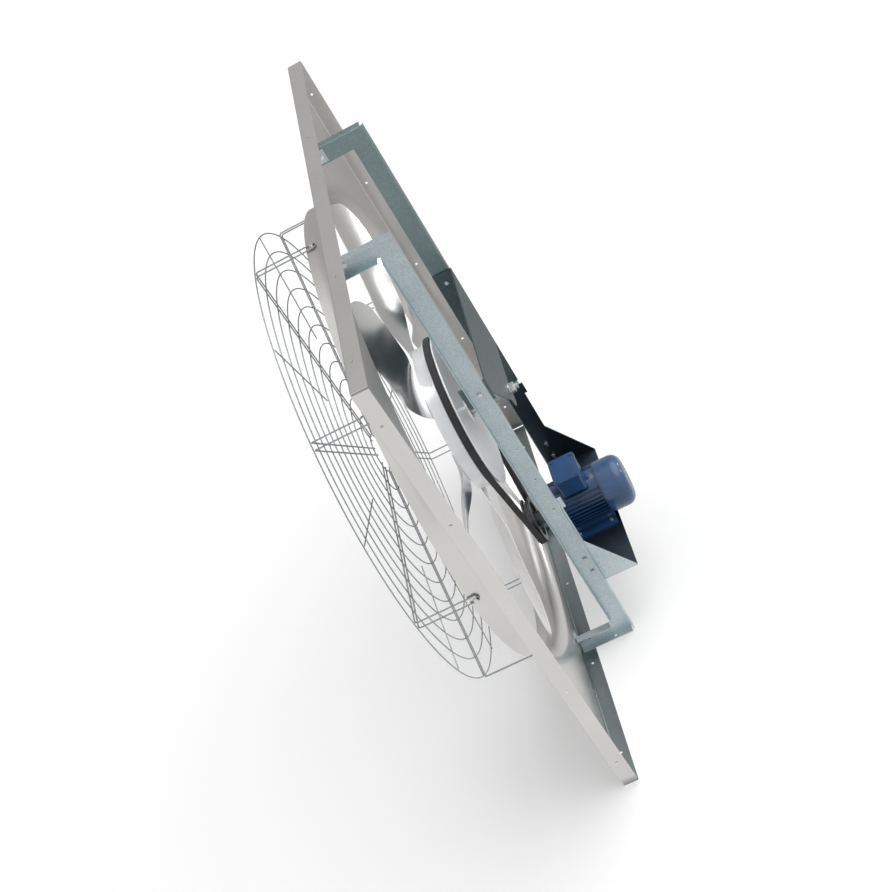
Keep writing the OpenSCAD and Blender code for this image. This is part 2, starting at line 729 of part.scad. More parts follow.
module drive_shield() color("#2b4c80") at_motor() difference() {
  pocket = small_bearing_d / 2;
  rim = motor_r - fin_t;
  back = -motor_face - fin_t;
  hole = shaft_body_r + run_gap;
  spun(120) polygon([[hole, -motor_face], [seat_r + fin_t, -motor_face], [seat_r + 2 * fin_t, back],
    [tube_r, -screw_seat], [rim, -screw_seat - fin_t], [rim, -body_front + gap],
    [bore_r, -body_front + gap], [bore_r - fin_t, -body_front + fin_t],
    [pocket + fin_t, -body_front + fin_t], [pocket + fin_t, -body_front], [pocket, -body_front],
    [pocket, back - gap], [hole, back - gap]]);
  shield_bolts(-body_front - over) cylinder(d = m6_d + gap, h = shield_t);
  shield_bolts(-screw_seat) cylinder(d = pan_share * m6_d + 2 * gap, h = shield_t);
}
module fan_shield() color("#2b4c80") at_motor() {
  pocket = small_bearing_d / 2 + gap;
  hole = shaft_body_r + run_gap;
  back = -body_back - rear_shield_t;
  spun(96) polygon([[hole, back], [shield_rim_r, back], [shield_rim_r, -body_back - gap],
    [bore_r - fin_t, -body_back - gap], [bore_r - fin_t, -body_back - fin_t],
    [pocket, -body_back - fin_t], [pocket, back + fin_t], [hole, back + fin_t]]);
}
module motor_bearing(y0) bearing(2 * shaft_body_r, small_bearing_d, small_bearing_w, y0);
module drive_bearing() color("#a9adb0") at_motor()
  motor_bearing(-motor_face - fin_t - small_bearing_w - 2 * gap);
module fan_bearing() color("#a9adb0") at_motor()
  motor_bearing(-body_back - rear_shield_t + fin_t + gap);
module shield_screws() color("#70757a") at_motor() shield_bolts(-screw_seat + gap)
  screw(m6_d - fit, body_front - screw_seat);

// Fan cowl: a thin drum with a domed grille end
module fan_cowl() color("#3f6299") at_motor() difference() {
  mid = motor_r - cowl_dome;
  inner = cowl_dome - cowl_t;
  turns = [0:bend_step:90];
  spun(120) polygon(concat([[motor_r - cowl_t, -cowl_rim], [motor_r, -cowl_rim]],
    [for (a = turns) [mid + cowl_dome * cos(a), -cowl_back + cowl_dome - cowl_dome * sin(a)]],
    [[0, -cowl_back], [0, -cowl_back + cowl_t]],
    [for (a = turns) [mid + inner * sin(a), -cowl_back + cowl_dome - inner * cos(a)]]));
  for (ring = [1:vent_rings], k = [0:vents_per_ring * ring - 1])
    rotate([0, 360 * k / (vents_per_ring * ring), 0])
      translate([0, -cowl_back - over, ring * vent_pitch]) rotate([-90, 0, 0])
        cylinder(d = vent_d, h = cowl_t + 2 * over, $fn = 24);
}

// Terminal box on top of the motor
module soft_square(w, l, r) {
  square([w - 2 * r, l], center = true);
  square([w, l - 2 * r], center = true);
  for (x = [-1, 1], y = [-1, 1]) translate([x * (w / 2 - r), y * (l / 2 - r)]) circle(r = r);
}
module box_place(z) translate([0, -box_front - box_len / 2, z]) children();
module terminal_box() color("#2f5288") difference() {
  box_place(box_low) linear_extrude(box_h) soft_square(box_w, box_len, box_r);
  box_place(box_low + fin_t) linear_extrude(box_h)
    soft_square(box_w - 2 * fin_t, box_len - 2 * fin_t, box_r - fin_t);
  gland_cut(box_w / 2 - 2 * fin_t, box_w / 2 + over, gland_d - fin_t);
}
module gland_cut(x0, x1, d) along_x(x0, x1, box_front + box_len / 2, box_low + box_h / 2, d);
module terminal_lid() color("#365b93") difference() {
  box_place(box_low + box_h + gap) linear_extrude(box_lid_t)
    soft_square(box_w + fin_t, box_len + fin_t, box_r);
  lid_screw_places() cylinder(d = m5_d + gap, h = 3 * box_lid_t, center = true);
}
module lid_screw_places() box_place(box_low + box_h + box_lid_t + 2 * gap)
  for (x = [-1, 1], y = [-1, 1])
    translate([x * (box_w / 2 - box_r), y * (box_len / 2 - box_r), 0]) children();
module lid_screws() color("#9aa0a6") lid_screw_places() screw(m5_d, box_lid_t - gap);
module cable_gland() color("#26282a") difference() {
  side = box_w / 2;
  union() {
    gland_cut(side - fin_t - gap, side + fin_t, gland_d - fin_t - gap);
    translate([side + gap, -box_front - box_len / 2, box_low + box_h / 2]) rotate([0, 90, 0])
      hexagon(gland_d, gland_len / 2);
    gland_cut(side + fin_t, side + gland_len, gland_d - fin_t);
  }
  gland_cut(side - 2 * fin_t, side + gland_len + over, gland_d / 2);
}

// Motor tray: a folded shelf whose cheeks slide on the beams
module cheek_outline() polygon([[-tray_back, tray_z - tray_t], [-tray_out, tray_z - tray_t],
  [-tray_out, tray_z], [-cheek_edge, tray_z + cheek_h], [-cheek_edge, cheek_top],
  [-cheek_edge - tab_out, cheek_top],
  [-cheek_edge - tab_out, tab_top], [-tray_back, tab_top]]);
module slot(x0, x1, y, z) {
  along_x(x0, x1, y, z, slot_w);
  along_x(x0, x1, y, z - slack, slot_w);
  block([x0, -y - slot_w / 2, z - slack], [x1, -y + slot_w / 2, z]);
}
module motor_tray() color("#8b9aa0") difference() {
  union() {
    block([-cheek_x, -tray_out, tray_z - tray_t], [cheek_x, -tray_back, tray_z]);
    for (s = [0, 1]) mirror([s, 0, 0]) sideways(cheek_x - tray_t) linear_extrude(tray_t)
      cheek_outline();
  }
  for (s = [0, 1]) mirror([s, 0, 0]) for (z = slot_z)
    slot(cheek_x - tray_t - over, cheek_x + over, beam_rise - web_hole_in, z);
  foot_bolt_places() translate([0, 0, -foot_pad_t - tray_t - over])
    cylinder(d = stack_holes_d, h = tray_t + 2 * over);
}
module tray_bolts() color("#d5d8d9") for (s = [0, 1], z = slot_z) mirror([s, 0, 0])
  translate([beam_x + beam_t + gap, -beam_rise + web_hole_in, z]) rotate([0, 90, 0])
    bolt(m6_d, beam_t + tray_t + 3 * gap);
module foot_bolts() color("#e4e6e7") foot_bolt_places()
  translate([0, 0, 2 * gap]) bolt(m6_d, foot_pad_t + tray_t + 3 * gap);

// Wire guard: flat rings and spokes, with hairpin pairs that run back to the collar
module guard_rings() color("#8b979d") for (k = [0:ring_count - 1])
  translate([0, guard_y, 0]) spun(160) translate([guard_r - k * ring_pitch, 0])
    circle(d = ring_wire_d, $fn = 16);
module guard_spokes() color("#8b979d") for (k = [0:leg_count - 1])
  rotate([0, -(k + 1 / 2) * 360 / leg_count, 0]) translate([guard_r - spoke_len, spoke_y, 0])
    rotate([0, 90, 0]) cylinder(d = ring_wire_d, h = spoke_len, $fn = 16);
module hairpin() {
  half = pair_gap / 2;
  r_in = guard_r - (ring_count - 1) * ring_pitch;
  corner = [for (a = [0:2 * bend_step:90])
    [pair_r - bend_r + bend_r * cos(a), pair_y - bend_r + bend_r * sin(a)]];
  run = concat([for (p = corner) [p[0], p[1], half]], [[r_in, pair_y, half]]);
  turn = [for (a = [0:2 * bend_step:180]) [pair_r, pair_end + half - half * sin(a), -half * cos(a)]];
  back = [for (i = [len(run) - 1:-1:0]) [run[i][0], run[i][1], -half]];
  wire_run(concat(back, turn, run));
}
module wire_run(path) {
  n = wire_sides;
  rings = [for (i = [0:len(path) - 1])
    let (t = tangent(path, i), a = unit(cross(t, abs(t[0]) > cos(45) ? [0, 1, 0] : [1, 0, 0])),
      b = cross(t, a))
    [for (j = [0:n - 1]) let (w = 360 * j / n) path[i] + wire_d / 2 * (a * cos(w) + b * sin(w))]];
  sides = [for (i = [0:len(path) - 2], j = [0:n - 1])
    let (a = i * n + j, b = i * n + (j + 1) % n) each [[a, b, b + n], [a, b + n, a + n]]];
  last = (len(path) - 1) * n;
  polyhedron([for (r = rings) each r],
    concat(sides, [[for (j = [0:n - 1]) n - 1 - j]], [[for (j = [0:n - 1]) last + j]]));
}
module at_pairs() for (k = [0:leg_count - 1]) rotate([0, -k * 360 / leg_count, 0]) children();
module guard_pairs() color("#8b979d") at_pairs() hairpin();
module guard_screws() color("#d5d8d9") at_pairs() {
  side = (pair_gap + wire_d) / 2;
  seat = pair_r + wire_d / 2 + gap;
  mid = pair_end + pair_gap / 2;
  block([seat, mid - clip_w / 2, -side], [seat + clip_t, mid + clip_w / 2, side]);
  translate([seat + clip_t, mid, 0]) rotate([0, 90, 0]) {
    cylinder(d = pan_share * m5_d, h = head_share * m5_d);
    translate([0, 0, -clip_t - wire_d - gap]) cylinder(d = m5_d, h = clip_t + wire_d + 2 * gap);
  }
}

panel();
foot_angles();
foot_screws();
beam_left();
beam_right();
hub_support();
support_screws();
spindle();
spindle_washer();
spindle_nut();
spindle_circlip();
front_bearing();
rear_bearing();
bearing_spacer();
drum_pulley();
blade_1();
blade_2();
blade_3();
blade_4();
blade_5();
blade_6();
blade_bolts();
v_belt();
motor_pulley();
pulley_key();
pulley_screw();
motor_shaft();
rotor_core();
cooling_fan();
stator();
motor_frame();
drive_shield();
fan_shield();
drive_bearing();
fan_bearing();
shield_screws();
fan_cowl();
terminal_box();
terminal_lid();
lid_screws();
cable_gland();
motor_tray();
tray_bolts();
foot_bolts();
guard_rings();
guard_spokes();
guard_pairs();
guard_screws();
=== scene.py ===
# %% [markdown]
# # A belt-driven whole house fan
# The fan is a square pressed panel with a bell mouth, two bridge beams, a drum pulley with six
# blades, a finned motor on a folded tray, and a wire guard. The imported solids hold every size.
# This lesson dresses them: it models the visible pieces again with soft edges and true curves,
# and gives each one a finish made from nodes. Everything is in metres, in the solids' own frame.

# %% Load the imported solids
import json
import math

import bmesh
import bpy
from mathutils import Matrix, Vector


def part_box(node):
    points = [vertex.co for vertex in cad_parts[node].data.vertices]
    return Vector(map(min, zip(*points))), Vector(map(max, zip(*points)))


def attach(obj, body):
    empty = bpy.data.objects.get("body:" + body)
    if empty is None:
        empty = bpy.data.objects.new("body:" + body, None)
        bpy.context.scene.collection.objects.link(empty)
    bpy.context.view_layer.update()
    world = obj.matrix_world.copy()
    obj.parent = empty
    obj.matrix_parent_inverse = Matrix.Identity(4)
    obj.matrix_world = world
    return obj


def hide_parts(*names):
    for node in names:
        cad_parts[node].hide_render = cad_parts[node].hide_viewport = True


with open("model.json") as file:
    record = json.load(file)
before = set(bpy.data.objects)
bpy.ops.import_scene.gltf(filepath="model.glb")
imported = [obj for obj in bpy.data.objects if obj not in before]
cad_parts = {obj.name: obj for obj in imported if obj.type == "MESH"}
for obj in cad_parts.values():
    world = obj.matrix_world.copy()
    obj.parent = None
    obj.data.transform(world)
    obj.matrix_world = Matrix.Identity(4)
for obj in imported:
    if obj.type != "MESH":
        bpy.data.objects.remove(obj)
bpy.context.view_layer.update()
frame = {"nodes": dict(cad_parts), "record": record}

nodes = frame["nodes"]
MM = 0.001

# %% [markdown]
# ## Sizes that the pieces share
# Half the panel's width and the floor's height are read from the solids, because finishes and
# the stage need them. The Y axis is the fan axis, and the guard is on its positive side.

# %% Read the main sizes from the solids
def low(node):
    """Lowest corner of a solid."""
    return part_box(node)[0]


def high(node):
    """Highest corner of a solid."""
    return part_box(node)[1]


FLOOR_GAP = 0.5 * MM
panel_half = high("panel").x
floor_level = low("panel").z - FLOOR_GAP
print("the panel is", round(2 * panel_half, 3), "wide, the floor lies at", round(floor_level, 4))

# %% [markdown]
# ## The camera
# The photograph looks down on the fan from the left of the motor side, with the camera rolled so
# that the panel stands on a corner. The place, turn and lens were solved from the panel's corners
# and fixing holes, so the render can be laid over the photograph.

# %% Set the camera
CAMERA_PLACE = (-2.9926, -0.5976, 2.3449)
CAMERA_TURN = (46.4849, 25.8414, -100.2614)
CAMERA_LENS = 63.651


def add_camera():
    """Makes the camera with the solved place, turn in degrees and lens in millimetres."""
    data = bpy.data.cameras.new("camera")
    data.sensor_width = 36
    data.lens = CAMERA_LENS
    data.clip_start = 0.05
    data.clip_end = 200
    camera = bpy.data.objects.new("camera", data)
    camera.location = CAMERA_PLACE
    camera.rotation_euler = [math.radians(turn) for turn in CAMERA_TURN]
    bpy.context.scene.collection.objects.link(camera)
    bpy.context.scene.camera = camera


add_camera()
bpy.context.scene.view_settings.view_transform = "Standard"
print("camera at", CAMERA_PLACE, "with a lens of", CAMERA_LENS, "mm")

# %% [markdown]
# ## Node helpers
# Every finish is a small node tree. One helper adds a node and fills in its sockets, and another
# joins a value to a socket of the shader. The texture space is Object coordinates, which are the
# same metres as the solids', so a spangle of 2 mm is 2 mm wherever it lies.

# %% Add and link nodes
def add_node(tree, kind, inputs=(), **settings):
    """Adds a node, sets its properties and fills in its input sockets by name or number."""
    node = tree.nodes.new(kind)
    for name, value in settings.items():
        setattr(node, name, value)
    for key, value in dict(inputs).items():
        if isinstance(value, bpy.types.NodeSocket):
            tree.links.new(value, node.inputs[key])
        else:
            node.inputs[key].default_value = value
    return node


def link(tree, value, shader, socket):
    """Joins a value to one of the shader's sockets."""
    tree.links.new(value, shader.inputs[socket])


FINISHES = {}


def start_finish(name, colour, metallic, roughness):
    """A new finish with its shader's plain values set: its tree, shader and Object place."""
    finish = bpy.data.materials.new(name + "_finish")
    FINISHES[name] = finish
    finish.use_nodes = True
    tree = finish.node_tree
    shader = tree.nodes["Principled BSDF"]
    shader.inputs["Base Color"].default_value = (*colour, 1)
    shader.inputs["Metallic"].default_value = metallic
    shader.inputs["Roughness"].default_value = roughness
    place = add_node(tree, "ShaderNodeTexCoord").outputs["Object"]
    return tree, shader, place


print("node helpers are ready, finishes so far:", len(FINISHES))

# %% [markdown]
# ## Patterns and colours
# Noise breaks up what would look computed. These helpers give a noise value, stretch it to the
# range that a socket needs, and turn it into a colour through a ramp or a mix of two.

# %% Make patterns and mix colours
def noise(tree, place, scale, detail=3, stretch=(1, 1, 1)):
    """A noise value from 0 to 1; stretch scales the pattern along each axis."""
    mapped = add_node(tree, "ShaderNodeMapping", {"Vector": place, "Scale": stretch})
    texture = add_node(tree, "ShaderNodeTexNoise",
                       {"Vector": mapped.outputs[0], "Scale": scale, "Detail": detail})
    return texture.outputs["Fac"]


def between(tree, value, low_in, high_in, low_out, high_out):
    """Maps a value from one range to another, and holds it there."""
    return add_node(tree, "ShaderNodeMapRange",
                    {"Value": value, "From Min": low_in, "From Max": high_in,
                     "To Min": low_out, "To Max": high_out}).outputs["Result"]


def ramp(tree, value, stops):
    """A colour from a value, through stops of (place, colour)."""
    node = add_node(tree, "ShaderNodeValToRGB", {"Fac": value})
    elements = node.color_ramp.elements
    while len(elements) < len(stops):
        elements.new(0.5)
    for element, (spot, colour) in zip(elements, stops):
        element.position = spot
        element.color = (*colour, 1)
    return node.outputs["Color"]


def mixed(tree, amount, first, second):
    """Mixes two colours."""
    node = add_node(tree, "ShaderNodeMix", data_type="RGBA")
    for socket, value in ((0, amount), (6, first), (7, second)):
        if isinstance(value, bpy.types.NodeSocket):
            tree.links.new(value, node.inputs[socket])
        else:
            node.inputs[socket].default_value = value if socket == 0 else (*value, 1)
    return node.outputs[2]


def tint(colour, factor):
    """A colour made lighter or darker."""
    return tuple(channel * factor for channel in colour)


print("half the tone of white:", tint((1, 1, 1), 0.5))

# %% [markdown]
# ## Wear and relief
# Real edges are rubbed bright and real surfaces are never quite flat. The bevel node rounds the
# normal near an edge, so the angle between that and the true normal is a mask for the edges.
# Noise breaks the mask up, because wear isn't even.

# %% Find the edges and raise a surface
SLIGHT_LEAN, FULL_LEAN = 0.02, 0.25


def bump(tree, shader, height, strength, distance):
    """Gives the shader a bump from a height."""
    node = add_node(tree, "ShaderNodeBump",
                    {"Height": height, "Strength": strength, "Distance": distance})
    tree.links.new(node.outputs["Normal"], shader.inputs["Normal"])


def edge_mask(tree, radius):
    """1 on the edges and 0 on the flats: how far a rounded normal leans from the true one."""
    rounded = add_node(tree, "ShaderNodeBevel", {"Radius": radius}, samples=4)
    true = add_node(tree, "ShaderNodeNewGeometry")
    lean = add_node(tree, "ShaderNodeVectorMath",
                    {0: rounded.outputs[0], 1: true.outputs["Normal"]}, operation="DOT_PRODUCT")
    return between(tree, lean.outputs["Value"], 1 - SLIGHT_LEAN, 1 - FULL_LEAN, 0, 1)


def scattered(tree, mask, place, scale):
    """A mask broken up by noise, so that wear isn't even."""
    patches = between(tree, noise(tree, place, scale, 4), 0.45, 0.6, 0, 1)
    return add_node(tree, "ShaderNodeMath", {0: mask, 1: patches}, operation="MULTIPLY").outputs[0]


print("wear helpers are ready")

# %% [markdown]
# ## Galvanised sheet
# Zinc freezes in crystals, so hot-dipped sheet is a patchwork of grey flakes that catch the light
# one by one. A Voronoi texture gives the flakes. Its cell colour changes the shade and the gloss
# a little from flake to flake, and a slow noise adds the cloudy look of handled sheet. The far
# beam and the support wear darker copies of the sheet, which are painted shade, and the inside of
# the tray is painted dark as painted shade and a painted reflection of the motor. Each of them gets
# a finish of its own from the same helper.

# %% Make the galvanised finish
# Painted shade and a painted reflection of the navy motor, laid on the inside of the tray.
TRAY_SHADE, TRAY_SHADE_COVER = (0.016, 0.03, 0.05), 0.93
INSIDE_TRAY = high("motor_tray").x - 1.8 * MM


def spangled(name, colour, flake=2.2 * MM, contrast=0.13, gloss=(0.34, 0.5), shaded_width=None):
    """Zinc flakes of one size; contrast and gloss say how far they differ. Painted shade lies
    between the planes at plus and minus the shaded width."""
    tree, shader, place = start_finish(name, colour, 1, 0.4)
    cells = add_node(tree, "ShaderNodeTexVoronoi", {"Vector": place, "Scale": 1 / flake,
                                                    "Randomness": 1})
    shade = add_node(tree, "ShaderNodeSeparateColor", {0: cells.outputs["Color"]})
    flakes = between(tree, shade.outputs[0], 0, 1, 1 - contrast, 1 + contrast)
    clouds = between(tree, noise(tree, place, 9, 5), 0.3, 0.7, 0.94, 1.05)
    both = add_node(tree, "ShaderNodeMath", {0: flakes, 1: clouds}, operation="MULTIPLY").outputs[0]
    sheet = add_node(tree, "ShaderNodeVectorMath", {0: colour, "Scale": both}, operation="SCALE")
    edge = scattered(tree, edge_mask(tree, 1.5 * MM), place, 60)
    shown = mixed(tree, edge, sheet.outputs[0], tint(colour, 1.3))
    # Between the tray's cheeks the colour turns dark navy as painted shade and a painted reflection.
    if shaded_width:
        across = add_node(tree, "ShaderNodeSeparateXYZ", {0: place}).outputs[0]
        aside = add_node(tree, "ShaderNodeMath", {0: across}, operation="ABSOLUTE").outputs[0]
        dust_and_shade = between(tree, aside, shaded_width, shaded_width + MM, TRAY_SHADE_COVER, 0)
        shown = mixed(tree, dust_and_shade, shown, TRAY_SHADE)
    link(tree, shown, shader, "Base Color")
    link(tree, between(tree, shade.outputs[1], 0, 1, *gloss), shader, "Roughness")
    bump(tree, shader, shade.outputs[2], 0.05, 0.4 * MM)


spangled("galvanised_sheet", (0.53, 0.61, 0.635))
# The next two are the same sheet made darker as painted shade, for the far beam and the support.
spangled("galvanised_far_shade", (0.26, 0.33, 0.34))
spangled("galvanised_deep_shade", (0.125, 0.16, 0.17))
spangled("galvanised_tray", (0.58, 0.65, 0.67), shaded_width=INSIDE_TRAY)
spangled("zinc_fasteners", (0.72, 0.74, 0.76), flake=1.5 * MM, contrast=0.05, gloss=(0.2, 0.32))
spangled("guard_wire", (0.33, 0.35, 0.36), flake=4 * MM, contrast=0.1, gloss=(0.28, 0.42))
print("galvanised finishes:", list(FINISHES))

# %% [markdown]
# ## The panel's sheet
# The panel is smooth coated sheet. It has a satin gloss, a faint rolling grain along the sheet,
# slow cloudy patches and bright wear along the folds. The motor side of the bottom rim is painted
# dark blue-grey, as painted shade and a painted reflection of the dark parts above it.

# %% Make the panel's finish
RIM_SHADE = (0.13, 0.17, 0.18)


def bottom_rim_shade(tree, place):
    """A mask for painted shade on the motor side of the bottom rim, from just inside its skin to 30
    mm above it.
    """
    parts = add_node(tree, "ShaderNodeSeparateXYZ", {0: place}).outputs
    skin = between(tree, parts[2], -panel_half + 0.6 * MM, -panel_half + MM, 0, 1)
    fade = between(tree, parts[2], -panel_half + 4 * MM, -panel_half + 30 * MM, 1, 0)
    inside = between(tree, parts[1], -0.5 * MM, -MM, 0, 0.85)
    both = add_node(tree, "ShaderNodeMath", {0: skin, 1: fade}, operation="MULTIPLY").outputs[0]
    return add_node(tree, "ShaderNodeMath", {0: both, 1: inside}, operation="MULTIPLY").outputs[0]


def coated_sheet(name, colour):
    """Satin sheet with clouds, a grain along the sheet, worn edges and painted shade on the bottom
    rim.
    """
    tree, shader, place = start_finish(name, colour, 0.9, 0.36)
    clouds = between(tree, noise(tree, place, 3.5, 5), 0.3, 0.7, 0.95, 1.04)
    grain = between(tree, noise(tree, place, 60, 3, (1, 1, 12)), 0.3, 0.7, 0.985, 1.015)
    both = add_node(tree, "ShaderNodeMath", {0: clouds, 1: grain}, operation="MULTIPLY").outputs[0]
    sheet = add_node(tree, "ShaderNodeVectorMath", {0: colour, "Scale": both}, operation="SCALE")
    edge = scattered(tree, edge_mask(tree, 2 * MM), place, 30)
    clean = mixed(tree, edge, sheet.outputs[0], tint(colour, 1.2))
    # The bottom rim gets painted shade and a painted reflection over the clean sheet.
    link(tree, mixed(tree, bottom_rim_shade(tree, place), clean, RIM_SHADE), shader, "Base Color")
    link(tree, between(tree, noise(tree, place, 6, 1), 0.3, 0.7, 0.27, 0.31), shader, "Roughness")
    bump(tree, shader, noise(tree, place, 260, 2), 0.03, 0.3 * MM)


coated_sheet("panel_sheet", (0.66, 0.645, 0.63))
print("panel finish:", FINISHES["panel_sheet"].name)

# %% [markdown]
# ## Polished and brushed metal
# The blades are bright stainless steel, and the drum is pale turned aluminium with a thin skin of
# oxide, which makes it only half a mirror. Turning marks follow the distance from the axis, so the
# texture reads a vector of radius and depth instead of the plain place.

# %% Make the polished metals
def lathe_place(tree, place):
    """Coordinates (distance from the fan axis, place along it)."""
    parts = add_node(tree, "ShaderNodeSeparateXYZ", {0: place})
    flat = add_node(tree, "ShaderNodeCombineXYZ", {0: parts.outputs[0], 1: parts.outputs[2]})
    radius = add_node(tree, "ShaderNodeVectorMath", {0: flat.outputs[0]}, operation="LENGTH")
    return add_node(tree, "ShaderNodeCombineXYZ",
                    {0: radius.outputs["Value"], 1: parts.outputs[1]}).outputs[0]


def polished(name, colour, gloss, marks, on_lathe=False, metallic=1.0):
    """Bright metal with fine lines of a given strength, round the axis or along the sheet."""
    tree, shader, place = start_finish(name, colour, metallic, gloss)
    if on_lathe:
        lines = noise(tree, lathe_place(tree, place), 700, 4)
    else:
        lines = noise(tree, place, 90, 4, (0.4, 0.4, 3))
    smudges = noise(tree, place, 12, 5)
    shade = between(tree, smudges, 0.3, 0.7, 0.96, 1.03)
    tone = add_node(tree, "ShaderNodeVectorMath", {0: colour, "Scale": shade}, operation="SCALE")
    link(tree, tone.outputs[0], shader, "Base Color")
    rough = add_node(tree, "ShaderNodeMath", {0: lines, 1: smudges}, operation="MULTIPLY").outputs[0]
    link(tree, between(tree, rough, 0.1, 0.4, gloss * 0.9, gloss * 1.12), shader, "Roughness")
    bump(tree, shader, lines, marks, 0.2 * MM)


polished("blade_steel", (0.83, 0.82, 0.81), 0.2, 0.015)
polished("drum_aluminium", (0.88, 0.905, 0.925), 0.3, 0.12, on_lathe=True, metallic=0.5)
polished("spindle_steel", (0.5, 0.51, 0.52), 0.28, 0.1, on_lathe=True)
polished("bearing_steel", (0.62, 0.63, 0.65), 0.2, 0.05, on_lathe=True)
polished("core_steel", (0.4, 0.4, 0.41), 0.35, 0.2)
print("with the polished metals:", len(FINISHES), "finishes")

# %% [markdown]
# ## Dark iron and black oxide
# The motor pulley is cast iron with a phosphate coat, and the circlip and the grub screw are
# blackened steel. They are dark, slightly mottled, and bare where an edge has rubbed.

# %% Make the dark metals
def dark_metal(name, colour, worn, gloss):
    """Mottled dark metal that shows a worn colour on its edges."""
    tree, shader, place = start_finish(name, colour, 0.85, gloss)
    mottle = noise(tree, place, 120, 5)
    base = ramp(tree, mottle, [(0.3, tint(colour, 0.7)), (0.7, tint(colour, 1.35))])
    edge = scattered(tree, edge_mask(tree, MM), place, 150)
    link(tree, mixed(tree, edge, base, worn), shader, "Base Color")
    link(tree, between(tree, mottle, 0.3, 0.7, gloss * 0.8, gloss * 1.3), shader, "Roughness")
    bump(tree, shader, noise(tree, place, 500, 3), 0.12, 0.4 * MM)


dark_metal("pulley_iron", (0.1, 0.1, 0.105), (0.45, 0.45, 0.46), 0.32)
dark_metal("dark_fasteners", (0.06, 0.062, 0.068), (0.3, 0.3, 0.31), 0.35)
print("with the dark metals:", len(FINISHES), "finishes")

# %% [markdown]
# ## Blue paint
# Motors are sprayed over cast or drawn metal. The paint has a fine orange peel and gets thin on
# the edges. Between the fins, where little sky reaches, it is painted darker as painted shade. A
# clear coat on the shader gives the sharp highlight.

# %% Make the paints
COAT, COAT_GLOSS, SHADE_REACH = 0.35, 0.09, 20


def sprayed(name, colour, gloss, peel):
    """Clear-coated paint with orange peel, thin edges and painted shade in the corners."""
    tree, shader, place = start_finish(name, colour, 0, gloss)
    clouds = ramp(tree, noise(tree, place, 22, 5),
                  [(0.3, tint(colour, 0.82)), (0.7, tint(colour, 1.15))])
    edge = scattered(tree, edge_mask(tree, 1.2 * MM), place, 110)
    thin = add_node(tree, "ShaderNodeMath", {0: edge, 1: 0.35}, operation="MULTIPLY").outputs[0]
    paint = mixed(tree, thin, clouds, tint(colour, 2.4))
    # Ambient occlusion paints shade into the colour between the fins and in corners.
    open_sky = add_node(tree, "ShaderNodeAmbientOcclusion", {"Distance": SHADE_REACH * MM},
                        samples=6)
    painted_shade = between(tree, open_sky.outputs["AO"], 0.3, 0.8, 0.75, 0)
    link(tree, mixed(tree, painted_shade, paint, tint(colour, 0.3)), shader, "Base Color")
    link(tree, between(tree, noise(tree, place, 40, 2), 0.3, 0.7, gloss * 0.94, gloss * 1.06),
         shader, "Roughness")
    shader.inputs["Coat Weight"].default_value = COAT
    shader.inputs["Coat Roughness"].default_value = COAT_GLOSS
    bump(tree, shader, noise(tree, place, 420, 2), peel, 0.5 * MM)


sprayed("motor_blue", (0.014, 0.062, 0.175), 0.34, 0.16)
sprayed("cowl_blue", (0.022, 0.075, 0.19), 0.28, 0.06)
print("with the paints:", len(FINISHES), "finishes")

# %% [markdown]
# ## Rubber, plastic and varnished copper
# The belt is fabric-faced rubber: dull, nearly black, with a fine weave and dust. The gland and
# the cooling fan are black moulded plastic. The winding is varnished copper wire.

# %% Make the dull finishes
DRY_DUST = (0.45, 0.44, 0.42)


def dull(name, colour, gloss, scale, strength, dust_and_shade):
    """A matt finish with a weave of one scale and strength, under patches of dust."""
    tree, shader, place = start_finish(name, colour, 0, gloss)
    weave = noise(tree, place, scale, 3)
    dusty = between(tree, noise(tree, place, 25, 5), 0.5, 0.75, 0, dust_and_shade)
    link(tree, mixed(tree, dusty, colour, DRY_DUST), shader, "Base Color")
    link(tree, between(tree, weave, 0.3, 0.7, gloss * 0.85, min(1, gloss * 1.15)),
         shader, "Roughness")
    bump(tree, shader, weave, strength, 0.4 * MM)


dull("belt_rubber", (0.02, 0.02, 0.022), 0.62, 900, 0.35, 0.05)
dull("black_plastic", (0.02, 0.02, 0.022), 0.42, 600, 0.12, 0.06)
dull("winding", (0.36, 0.16, 0.06), 0.4, 300, 0.5, 0.05)
print("finishes:", sorted(FINISHES))

# %% [markdown]
# ## Finishing a piece
# Each piece starts as a bmesh and ends in one helper, which makes the normals point outwards,
# smooths the round faces, keeps the sharp edges, and hangs the piece on its moving body. Normals
# are weighted by area, so a small fillet doesn't bend the shading of the flat beside it.

# %% Finish a piece
FLAT_WEIGHT = 80


def finish_piece(shape, name, slot_name, body, replaced, smooth=32, finish=None):
    """Turns a bmesh into a dressed piece that stands for the named solids.

    The piece wears the finish of its slot, or the one that is named."""
    bmesh.ops.remove_doubles(shape, verts=shape.verts, dist=2e-6)
    bmesh.ops.recalc_face_normals(shape, faces=shape.faces)
    mesh = bpy.data.meshes.new(name)
    shape.to_mesh(mesh)
    shape.free()
    mesh.shade_smooth()
    mesh.set_sharp_from_angle(angle=math.radians(smooth))
    mesh.materials.append(FINISHES[finish or slot_name])
    piece = bpy.data.objects.new(name, mesh)
    bpy.context.scene.collection.objects.link(piece)
    flats = piece.modifiers.new("flats", "WEIGHTED_NORMAL")
    flats.keep_sharp = True
    flats.weight = FLAT_WEIGHT
    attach(piece, body)
    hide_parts(*replaced)
    return piece


# %% [markdown]
# ## Edges and copies
# No real edge is sharp. Two helpers find the sharp edges of a bmesh and bevel them into small
# fillets. A third copies a solid's mesh and joins its triangles into whole faces, because a bevel
# only runs cleanly between whole faces.

